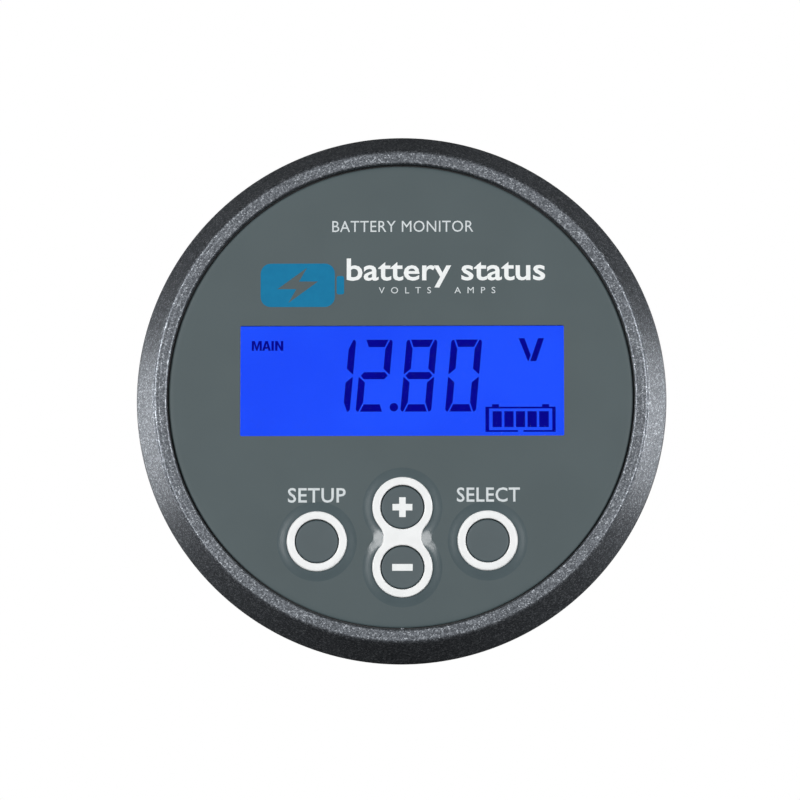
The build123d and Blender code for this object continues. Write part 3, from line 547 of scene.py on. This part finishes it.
# Moulding nib at the bottom of the lip
nib_outline = rounded_outline(0.0, -LIP_R - 0.1, 0.4, -LIP_R + 0.16, 0.08, 3)
nib = plate(nib_outline, RING_Y + 0.25, RING_Y + 0.8)
bezel = join([bezel, nib])
flatten_normals(bezel, 50)
fit(bezel, "flaked_bezel", FLAKED, replaces=["bezel"])

# ---------------------------------------------------------------- printed face sheet
window_low, window_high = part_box("window_lens")
LENS_MARGIN = 1.0
WINDOW = (
    window_low.x / MM + LENS_MARGIN,
    window_low.z / MM + LENS_MARGIN,
    window_high.x / MM - LENS_MARGIN,
    window_high.z / MM - LENS_MARGIN,
)
SHEET_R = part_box("graphic_overlay")[1].x / MM
EDGE_ROLL = 0.7
KEY_HOLE_R = 2.83
CUT_PAST = 0.2
sheet_profile = [
    (0.0, FACE_Y),
    (SHEET_R - EDGE_ROLL, FACE_Y),
    (SHEET_R - 0.45, FACE_Y + 0.01),
    (SHEET_R - 0.2, FACE_Y + 0.03),
    (SHEET_R - 0.05, FACE_Y + 0.06),
    (SHEET_R, FACE_Y + 0.12),
    (SHEET_R, SHEET_BACK_Y),
    (0.0, SHEET_BACK_Y),
]
sheet = turned(sheet_profile, steps=240)
left, bottom, right, top = WINDOW
window_outline = rounded_outline(left, bottom, right, top, 0.15, 2)
cut_with(sheet, plate(window_outline, FACE_Y - CUT_PAST, SHEET_BACK_Y + CUT_PAST))
for at in (SETUP_AT, SELECT_AT, PLUS_AT, MINUS_AT):
    drill(sheet, at, KEY_HOLE_R, FACE_Y - CUT_PAST, SHEET_BACK_Y + CUT_PAST, 64)
flatten_normals(sheet, 40)
fit(sheet, "face_sheet", FILM, replaces=["graphic_overlay"])

# ---------------------------------------------------------------- key rims and their embossed slopes
RIM_R = 3.55
RIM_BORE_R = 2.6
SLOPE_WIDTH = 1.15
SLOPE_STEPS = 6
SLOPE_HEIGHT = 0.09


def slope_section(height, straight=0.0):
    """Offsets outwards from the rim's edge, with their Y, down an embossed slope of a height.

    straight is how much of the slope's rounding is pulled flat, from 0 to 1.
    """
    section = []
    for i in range(SLOPE_STEPS + 1):
        share = i / SLOPE_STEPS
        fall = straight * share + (1 - straight) * share * share * (3 - 2 * share)
        section.append((share * SLOPE_WIDTH, FACE_Y - height * (1 - fall)))
    return section


def single_rim(at, name):
    """A white band round one key, and the slope of stretched film at its foot."""
    band = turned(
        [(RIM_BORE_R, FACE_Y)]
        + arc((RIM_BORE_R + 0.12, RIM_TOP_Y + 0.12), 0.12, 180, 270, 4)
        + arc((RIM_R - 0.22, RIM_TOP_Y + 0.22), 0.22, 270, 360, 5)
        + [(RIM_R, FACE_Y)],
        at,
        96,
    )
    flatten_normals(band, 50)
    fit(band, name + "_white_band", RIM_WHITE, replaces=[name + "_rim"])
    outer = [(RIM_R + offset, y) for offset, y in slope_section(SLOPE_HEIGHT)]
    slope = turned(outer + [(RIM_R, FACE_Y + 0.05)], at, 96)
    flatten_normals(slope, 60)
    fit(slope, name + "_slope", SLOPE_FILM_PAINTED_HALO)


single_rim(SETUP_AT, "setup")
single_rim(SELECT_AT, "select")

WAIST = 2.24
WAIST_EXTRA_HEIGHT = 0.23
WAIST_SPREAD = 1.5
WAIST_DROP = 0.3


def eight_outline(offset):
    """The figure of eight round the plus and minus keys, moved outwards by an offset, as (x, z) points."""
    half = (PLUS_AT[1] - MINUS_AT[1]) / 2
    centre = (PLUS_AT[0], (PLUS_AT[1] + MINUS_AT[1]) / 2)
    waist_arc = (WAIST**2 + half**2 - RIM_R**2) / (2 * (RIM_R - WAIST))
    reach = WAIST + waist_arc
    turn = math.degrees(math.atan2(half, reach))
    x, z = centre
    return (
        arc((x, z + half), RIM_R + offset, -turn, 180 + turn, 48)
        + arc((x - reach, z), waist_arc - offset, turn, -turn, 16)[1:-1]
        + arc((x, z - half), RIM_R + offset, 180 - turn, 360 + turn, 48)
        + arc((x + reach, z), waist_arc - offset, 180 + turn, 180 - turn, 16)[1:-1]
    )


band = plate(eight_outline(0.0), RIM_TOP_Y, FACE_Y)
for at in (PLUS_AT, MINUS_AT):
    drill(band, at, RIM_BORE_R, RIM_TOP_Y - 1, FACE_Y + 1, 96)
soften(band, 0.15, 4, 60)
flatten_normals(band, 50)
fit(band, "plus_minus_white_band", RIM_WHITE, replaces=["plus_minus_rim"])

# The film stands higher in the waist, where the two rings pull it from both sides, most a little below
# the middle. The slope is drawn as closed lines, each farther out and lower, which are then bridged.
rings = []
for step, (offset, _) in enumerate(slope_section(SLOPE_HEIGHT)):
    outline = eight_outline(offset)
    ring = []
    for x, z in outline + outline[:1]:
        from_waist = z - (PLUS_AT[1] + MINUS_AT[1]) / 2 + WAIST_DROP
        pull = math.exp(-(from_waist**2) / WAIST_SPREAD)
        height = SLOPE_HEIGHT + WAIST_EXTRA_HEIGHT * pull
        ring.append((x, slope_section(height, pull)[step][1], z))
    rings.append(pick(draw_chain(ring)))
slope = join(rings)
bpy.ops.object.mode_set(mode="EDIT")
bpy.ops.mesh.select_all(action="SELECT")
bpy.ops.mesh.remove_doubles(threshold=1e-7)
bpy.ops.mesh.select_mode(type="EDGE")
bpy.ops.mesh.select_all(action="SELECT")
bpy.ops.mesh.bridge_edge_loops()
bpy.ops.mesh.select_all(action="SELECT")
bpy.ops.mesh.normals_make_consistent(inside=False)
pick(slope)
flatten_normals(slope, 60)
fit(slope, "plus_minus_slope", SLOPE_FILM_PAINTED_HALO)

# ---------------------------------------------------------------- keys
for node in ("setup_key", "select_key", "plus_key", "minus_key"):
    frame["nodes"][node].material_slots[0].material = KEY_FILM

PLUS_SPAN = 1.17
BAR = 0.385
MINUS_SPAN = 1.21
MINUS_BAR = 0.4
x, z = PLUS_AT
plus = plate(
    [
        (x - PLUS_SPAN, z - BAR),
        (x - BAR, z - BAR),
        (x - BAR, z - PLUS_SPAN),
        (x + BAR, z - PLUS_SPAN),
        (x + BAR, z - BAR),
        (x + PLUS_SPAN, z - BAR),
        (x + PLUS_SPAN, z + BAR),
        (x + BAR, z + BAR),
        (x + BAR, z + PLUS_SPAN),
        (x - BAR, z + PLUS_SPAN),
        (x - BAR, z + BAR),
        (x - PLUS_SPAN, z + BAR),
    ],
    KEY_TOP_Y - INK,
    KEY_TOP_Y,
)
fit(plus, "plus_sign", WHITE_INK, "plus_key")
x, z = MINUS_AT
minus_outline = rounded_outline(x - MINUS_SPAN, z - MINUS_BAR, x + MINUS_SPAN, z + MINUS_BAR, 0.04, 1)
minus = plate(minus_outline, KEY_TOP_Y - INK, KEY_TOP_Y)
fit(minus, "minus_sign", WHITE_INK, "minus_key")

# ---------------------------------------------------------------- display
# Signs on the glass are outlined on a nominal grid, and their heights are then stretched by this much
STRETCH = 1.027
glass_low, glass_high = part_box("lcd_front_glass")
glass = plate(
    rounded_outline(glass_low.x / MM, glass_low.z / MM, glass_high.x / MM, glass_high.z / MM, 0.05, 1),
    GLASS_Y,
    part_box("lcd_front_glass")[1].y / MM,
)
soften(glass, 0.08, 1, 60)
fit(glass, "display_glass", DISPLAY, replaces=["lcd_front_glass"])

SEGMENT_FRONT = GLASS_Y - INK
SLANT = 0.092
# Each segment as (x, z) points from the figure's centre, before it leans
UPPER_BAR = [(1.5, 4.18), (1.7, 4.13), (1.83, 3.9), (1.83, 0.2), (1.72, 0.2), (1.03, 0.8), (1.03, 3.08)]
SEGMENTS = {
    "top": [(-1.31, 4.18), (1.31, 4.18), (0.95, 3.33), (-0.95, 3.33)],
    "middle": [(-1.59, 0), (-1.22, 0.41), (1.22, 0.41), (1.59, 0), (1.22, -0.41), (-1.22, -0.41)],
    "bottom": [(-1.31, -4.18), (1.31, -4.18), (0.95, -3.33), (-0.95, -3.33)],
    "upper_right": UPPER_BAR,
    "lower_right": [(x, -z) for x, z in UPPER_BAR],
    "upper_left": [(-x, z) for x, z in UPPER_BAR],
    "lower_left": [(-x, -z) for x, z in UPPER_BAR],
}
SHOWN = {
    "1": ["upper_right", "lower_right"],
    "2": ["top", "upper_right", "middle", "lower_left", "bottom"],
    "8": list(SEGMENTS),
    "0": [name for name in SEGMENTS if name != "middle"],
}
DIGITS_Z = 2.56


def digit(figure, centre_x):
    """One seven-segment figure, leaning to the right."""
    parts = []
    for name in SHOWN[figure]:
        outline = [(centre_x + x + SLANT * z, STRETCH * (DIGITS_Z + z)) for x, z in SEGMENTS[name]]
        parts.append(plate(outline, SEGMENT_FRONT, GLASS_Y))
    return join(parts)


FIGURES = [("1", -7.53), ("2", -3.18), ("8", 2.12), ("0", 7.42)]
for number, (figure, centre_x) in enumerate(FIGURES):
    fit(digit(figure, centre_x), f"digit_{number + 1}_shows_{figure}", SEGMENT)

point = plate(arc((-0.85, STRETCH * -1.11), 0.5, 0, 345, 23), SEGMENT_FRONT, GLASS_Y)
fit(point, "decimal_point", SEGMENT)


def stretched(outline):
    """An outline on the glass with its heights stretched."""
    return [(x, STRETCH * z) for x, z in outline]


volt_sign = join(
    [
        plate(stretched(outline), SEGMENT_FRONT, GLASS_Y)
        for outline in (
            [(13.95, 6.88), (14.64, 6.88), (15.38, 4.92), (15.11, 4.22), (15.04, 4.22)],
            [(16.25, 6.88), (16.95, 6.88), (16.03, 4.22), (15.31, 4.22)],
        )
    ]
)
fit(volt_sign, "volt_sign", SEGMENT)

# The battery sign: its case and terminals as one line, open at the bottom, round five bars
BATTERY_OUTLINE = [
    (9.99, -1.08), (9.99, -3.99), (13.84, -3.99), (13.84, -3.79), (10.43, -3.79),
    (10.43, -1.28), (17.9, -1.28), (17.9, -3.79), (14.48, -3.79), (14.48, -3.99),
    (18.3, -3.99), (18.3, -1.08), (17.53, -1.08), (17.53, -0.79), (16.71, -0.79),
    (16.71, -1.08), (11.58, -1.08), (11.58, -0.79), (10.78, -0.79), (10.78, -1.08),
]
BATTERY_BARS = [(10.84, 11.93), (12.23, 13.32), (13.6, 14.68), (14.97, 16.07), (16.35, 17.49)]
BARS_BOTTOM = -3.44
BARS_TOP = -1.6
battery_parts = [plate(stretched(BATTERY_OUTLINE), SEGMENT_FRONT, GLASS_Y)]
for low, high in BATTERY_BARS:
    bar = [(low, BARS_BOTTOM), (high, BARS_BOTTOM), (high, BARS_TOP), (low, BARS_TOP)]
    battery_parts.append(plate(stretched(bar), SEGMENT_FRONT, GLASS_Y))
fit(join(battery_parts), "battery_level_sign", SEGMENT)

# The word MAIN, in bold block letters: each is a list of outlines in a cell one unit high
LETTER_M = [
    [
        (0, 0), (0, 1), (0.33, 1), (0.54, 0.38), (0.75, 1), (1.08, 1), (1.08, 0),
        (0.84, 0), (0.84, 0.7), (0.62, 0), (0.46, 0), (0.24, 0.7), (0.24, 0),
    ],
]
LETTER_A = [
    [(0, 0), (0.33, 1), (0.47, 1), (0.47, 0.74), (0.37, 0.4), (0.31, 0.2), (0.26, 0)],
    [(0.94, 0), (0.61, 1), (0.47, 1), (0.47, 0.74), (0.57, 0.4), (0.63, 0.2), (0.68, 0)],
    [(0.37, 0.4), (0.57, 0.4), (0.63, 0.2), (0.31, 0.2)],
]
LETTER_I = [[(0, 0), (0, 1), (0.26, 1), (0.26, 0)]]
LETTER_N = [
    [
        (0, 0), (0, 1), (0.26, 1), (0.62, 0.38), (0.62, 1),
        (0.88, 1), (0.88, 0), (0.62, 0), (0.26, 0.62), (0.26, 0),
    ],
]
LETTER_WIDTHS = [1.08, 0.94, 0.26, 0.88]
LETTER_GAPS = [0.04, 0.06, 0.14, 0.0]
WORD_LEFT, WORD_BOTTOM, WORD_RIGHT, WORD_TOP = -17.72, 5.64, -13.98, 6.8
across = (WORD_RIGHT - WORD_LEFT) / (sum(LETTER_WIDTHS) + sum(LETTER_GAPS))
upwards = WORD_TOP - WORD_BOTTOM
word_parts = []
pen = 0.0
for strokes, width, gap in zip([LETTER_M, LETTER_A, LETTER_I, LETTER_N], LETTER_WIDTHS, LETTER_GAPS):
    for outline in strokes:
        drawn = [(WORD_LEFT + across * (pen + x), WORD_BOTTOM + upwards * z) for x, z in outline]
        word_parts.append(plate(drawn, SEGMENT_FRONT, GLASS_Y))
    pen += width + gap
fit(join(word_parts), "main_bank_word", SEGMENT)

# Clear window in front of the glass
lens = plate(
    rounded_outline(window_low.x / MM, window_low.z / MM, window_high.x / MM, window_high.z / MM, 0.5),
    window_low.y / MM,
    window_high.y / MM,
)
soften(lens, 0.06, 1, 60)
flatten_normals(lens, 30)
fit(lens, "clear_window", CLEAR, replaces=["window_lens"])

# ---------------------------------------------------------------- print on the face
PRINT = FACE_Y - INK
# Each word's text, piece name, box as (left, bottom, right, top), ink, weight and letter spacing
FACE_WORDS = (
    ("BATTERY MONITOR", "monitor_words", (-8.12, 19.55, 8.6, 20.9), GREY_INK, 0.0, 1.05),
    ("SETUP", "setup_word", (-13.3, -12.65, -6.48, -10.9), GREY_INK, 0.012, 1.05),
    ("SELECT", "select_word", (6.6, -12.58, 14.02, -10.86), GREY_INK, 0.012, 1.05),
    ("battery status", "status_words", (-6.4, 12.9, 17.1, 16.4), WHITE_INK, 0.015, 1.0),
    ("VOLTS  AMPS", "units_words", (-2.6, 12.2, 11.2, 12.95), GREY_INK, 0.0, 2.2),
)
for words, name, box, ink, weight, spacing in FACE_WORDS:
    fit(lettering(words, box, PRINT, INK, weight, spacing), name, ink)

# The sign beside the words: a battery with a bolt cut out of it
bolt_field = plate(rounded_outline(-16.6, 10.6, -7.8, 15.8, 1.2, 6), PRINT, FACE_Y)
bolt = [(-11.1, 15.3), (-14.6, 12.75), (-12.35, 12.75), (-13.3, 11.1), (-9.8, 13.65), (-12.05, 13.65)]
cut_with(bolt_field, plate(bolt, PRINT - 0.5, FACE_Y + 0.5))
nub = plate(rounded_outline(-7.6, 12.1, -6.7, 14.3, 0.25, 3), PRINT, FACE_Y)
fit(join([bolt_field, nub]), "bolt_sign", BLUE_INK)

# ---------------------------------------------------------------- rear
def softened(node, name, width, material, body="housing", segments=2):
    """A moulded piece as it leaves its tool: the CAD shape with its edges rounded."""
    piece = copy_of(node)
    soften(piece, width, segments)
    flatten_normals(piece, 40)
    return fit(piece, name, material, body, [node])


softened("rear_cover", "rear_cover_moulding", 0.2, BLACK)
softened("thrust_washer", "thrust_washer_moulding", 0.25, BLACK, "thrust_washer", 3)
softened("shunt_socket", "shunt_socket_moulding", 0.15, SOCKET)
softened("data_port", "data_port_moulding", 0.12, PORT)
softened("terminal_block", "terminal_block_moulding", 0.15, TERMINAL)

# Legends over the sockets, printed on the cover and read from behind
LEGEND_ABOVE = 0.65
LEGEND_HEIGHT = 1.35
for words, node, half_width in (
    ("SHUNT", "shunt_socket", 3.2),
    ("DATA", "data_port", 2.4),
    ("RELAY", "terminal_block", 3.0),
):
    centre_x = middle(node)[0]
    base_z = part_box(node)[1].z / MM + LEGEND_ABOVE
    legend_box = (centre_x - half_width, base_z, centre_x + half_width, base_z + LEGEND_HEIGHT)
    word = lettering(words, legend_box, COVER_Y, INK, 0.01, 1.05, from_rear=True)
    fit(word, words.lower() + "_legend", GREY_INK)

# The label: a thin sheet with a printed frame, the word TOP and an arrow that points up
label_low, label_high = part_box("back_label")
label_left, label_right = label_low.x / MM, label_high.x / MM
label_bottom, label_top = label_low.z / MM, label_high.z / MM
LABEL_FACE_Y = LABEL_Y - INK
FRAME_OUTSIDE = 0.5
FRAME_INSIDE = 0.7


def label_outline(inset, radius):
    """The label's outline, moved inwards by an inset."""
    return rounded_outline(
        label_left + inset, label_bottom + inset, label_right - inset, label_top - inset, radius
    )


label = plate(label_outline(0.0, 0.6), COVER_Y, LABEL_FACE_Y)
fit(label, "label_sheet", LABEL, replaces=["back_label"])
label_frame = plate(label_outline(FRAME_OUTSIDE, 0.4), LABEL_FACE_Y, LABEL_Y)
cut_with(label_frame, plate(label_outline(FRAME_INSIDE, 0.25), LABEL_FACE_Y - 0.5, LABEL_Y + 0.5))
middle_x, middle_z = middle("back_label")
arrow = plate(
    [
        (middle_x - 4.4, middle_z + 1.5),
        (middle_x - 6.0, middle_z - 0.1),
        (middle_x - 4.9, middle_z - 0.1),
        (middle_x - 4.9, middle_z - 1.5),
        (middle_x - 3.9, middle_z - 1.5),
        (middle_x - 3.9, middle_z - 0.1),
        (middle_x - 2.8, middle_z - 0.1),
    ],
    LABEL_FACE_Y,
    LABEL_Y,
)
top_word = lettering(
    "TOP",
    (middle_x - 1.0, middle_z - 1.2, middle_x + 5.6, middle_z + 1.2),
    LABEL_FACE_Y,
    INK,
    0.01,
    1.1,
    from_rear=True,
)
fit(join([label_frame, arrow, top_word]), "label_print", BLACK_INK)

# ---------------------------------------------------------------- finishes of the CAD nodes
FINISHES = {
    "case": BLACK,
    "front_plate": BLACK,
    "lock_ring": BLACK,
    "flange_gasket": FOAM,
    "lcd_rear_glass": GUIDE,
    "zebra_strip": ZEBRA,
    "lcd_tray": TRAY,
    "light_guide": GUIDE,
    "reflector": FILM_WHITE,
    "backlight_leds": LED,
    "display_board": BOARD,
    "connector_board": BOARD,
    "tact_switches": EPOXY,
    "microcontroller": EPOXY,
    "buzzer": EPOXY,
    "link_socket": EPOXY,
    "setup_plunger": EPOXY,
    "select_plunger": EPOXY,
    "plus_plunger": EPOXY,
    "minus_plunger": EPOXY,
    "crystal": CAN,
    "terminal_clamps": CAN,
    "board_screws": STEEL,
    "connector_board_screws": STEEL,
    "cover_screws": STEEL,
    "board_posts": BRASS,
    "terminal_screws": STEEL,
    "link_pins": GOLD,
    "socket_contacts": GOLD,
    "data_port_pins": GOLD,
    "relay": RELAY,
    "capacitor": SLEEVE,
}
for node, finish in FINISHES.items():
    frame["nodes"][node].material_slots[0].material = finish

# ---------------------------------------------------------------- floor, light and camera
FLOOR_Z = -0.0605
FLOOR_SIZE = 3.0
FADE_START = 0.15
FADE_END = 0.5


def floor_paint_and_glow():
    """Matt off-white paint with a painted glow that grows outwards into the white of the room, so that no
    edge shows.
    """
    material = moulded("pale_floor_paint_and_glow", ("#f0f0ef", "#f3f3f2"), 2.0, 0.01, (0.8, 0.9), 60.0)
    tree = material.node_tree
    place = add_node(tree, "TexCoord").outputs["Object"]
    distance = add_node(tree, "VectorMath", {"operation": "LENGTH"}, {0: place})
    reach = {"interpolation_type": "SMOOTHSTEP", "From Min": FADE_START, "From Max": FADE_END}
    fade = add_node(tree, "MapRange", reach, {"Value": distance.outputs["Value"]})
    shader = tree.nodes["Principled BSDF"]
    # Painted light: the floor glows white, more and more strongly outwards, where it meets the room.
    shader.inputs["Emission Color"].default_value = linear("#ffffff")
    tree.links.new(fade.outputs["Result"], shader.inputs["Emission Strength"])
    return material


pick()
bpy.ops.mesh.primitive_plane_add(size=FLOOR_SIZE, location=(0, 0, FLOOR_Z))
floor = bpy.context.object
floor.name = "floor"
place_in_mesh(floor)
floor.data.materials.append(floor_paint_and_glow())
floor.visible_glossy = False
floor.visible_diffuse = False


def light_panel(name, place, aim, width, height, power):
    """A soft panel light at a place, turned to a point."""
    pick()
    bpy.ops.object.light_add(type="AREA", location=place)
    lamp = bpy.context.object
    lamp.name = name
    lamp.data.shape = "RECTANGLE"
    lamp.data.size = width
    lamp.data.size_y = height
    lamp.data.energy = power
    direction = Vector(aim) - Vector(place)
    lamp.rotation_euler = direction.to_track_quat("-Z", "Y").to_euler()
    lamp.visible_camera = False
    return lamp


# Two soft panels in front light the face evenly. Two strips at the sides reach behind the object, where
# the bezel's cone mirrors them on the left and right only, and two narrow panels light its rounded edge.
# Sizes and places are in metres, powers in watts.
FRONT_DISTANCE = 0.9
FRONT_AZIMUTH = math.radians(30)
FRONT_HEIGHT = 0.1
FRONT_SIZE = 0.35
SIDE_DISTANCE = 0.5
STRIP_Y = 0.22
STRIP_SIZE = (0.5, 0.3)
STRIP_POWER = 0.88
EDGE_PANEL_SIZE = (0.1, 0.22)
EDGE_PANEL_POWER = 1.5
for side, name, power in ((-1, "front_left_panel", 4.7), (1, "front_right_panel", 4.35)):
    front_place = (
        side * FRONT_DISTANCE * math.sin(FRONT_AZIMUTH),
        -FRONT_DISTANCE * math.cos(FRONT_AZIMUTH),
        FRONT_HEIGHT,
    )
    light_panel(name, front_place, (0, 0, 0), FRONT_SIZE, FRONT_SIZE, power)
for side, name in ((-1, "left"), (1, "right")):
    beside = side * SIDE_DISTANCE
    light_panel(name + "_strip", (beside, STRIP_Y, 0), (0, STRIP_Y, 0), *STRIP_SIZE, STRIP_POWER)
    light_panel(name + "_edge_panel", (beside, 0, 0), (0, 0, 0), *EDGE_PANEL_SIZE, EDGE_PANEL_POWER)
# One large panel behind and above shows the rear
rear = light_panel("rear_panel", (0.25, 1.2, 0.45), (0, 0, 0), 0.6, 0.5, 14.0)
rear.visible_glossy = False

# The room: white to the camera, and only a faint light on the object
ROOM_LIGHT = 0.03
world = bpy.data.worlds.new("studio")
bpy.context.scene.world = world
world.use_nodes = True
world.node_tree.nodes.clear()
rays = add_node(world.node_tree, "LightPath")
dim = add_node(world.node_tree, "Background", {"Color": linear("#ffffff"), "Strength": ROOM_LIGHT})
bright = add_node(world.node_tree, "Background", {"Color": linear("#ffffff"), "Strength": 1.0})
mix = add_node(
    world.node_tree,
    "MixShader",
    links={0: rays.outputs["Is Camera Ray"], 1: dim.outputs[0], 2: bright.outputs[0]},
)
add_node(world.node_tree, "OutputWorld", links={"Surface": mix.outputs[0]})
bpy.context.scene.view_settings.view_transform = "Standard"

CAMERA_DISTANCE = 0.5
CAMERA_AZIMUTH = math.radians(1.08)
CAMERA_ELEVATION = math.radians(-6.5)
FRAME_WIDTH = 0.09516
AIM = Vector((-0.16, RIM_WIDEST_Y, -0.05)) * MM
pick()
bpy.ops.object.camera_add()
camera = bpy.context.object
camera.name = "camera"
back = Vector(
    (
        math.sin(CAMERA_AZIMUTH) * math.cos(CAMERA_ELEVATION),
        -math.cos(CAMERA_AZIMUTH) * math.cos(CAMERA_ELEVATION),
        math.sin(CAMERA_ELEVATION),
    )
)
camera.location = AIM + back * CAMERA_DISTANCE
camera.rotation_euler = (-back).to_track_quat("-Z", "Y").to_euler()
camera.data.sensor_width = 36.0
camera.data.lens = camera.data.sensor_width * CAMERA_DISTANCE / FRAME_WIDTH
bpy.context.scene.camera = camera
pick()
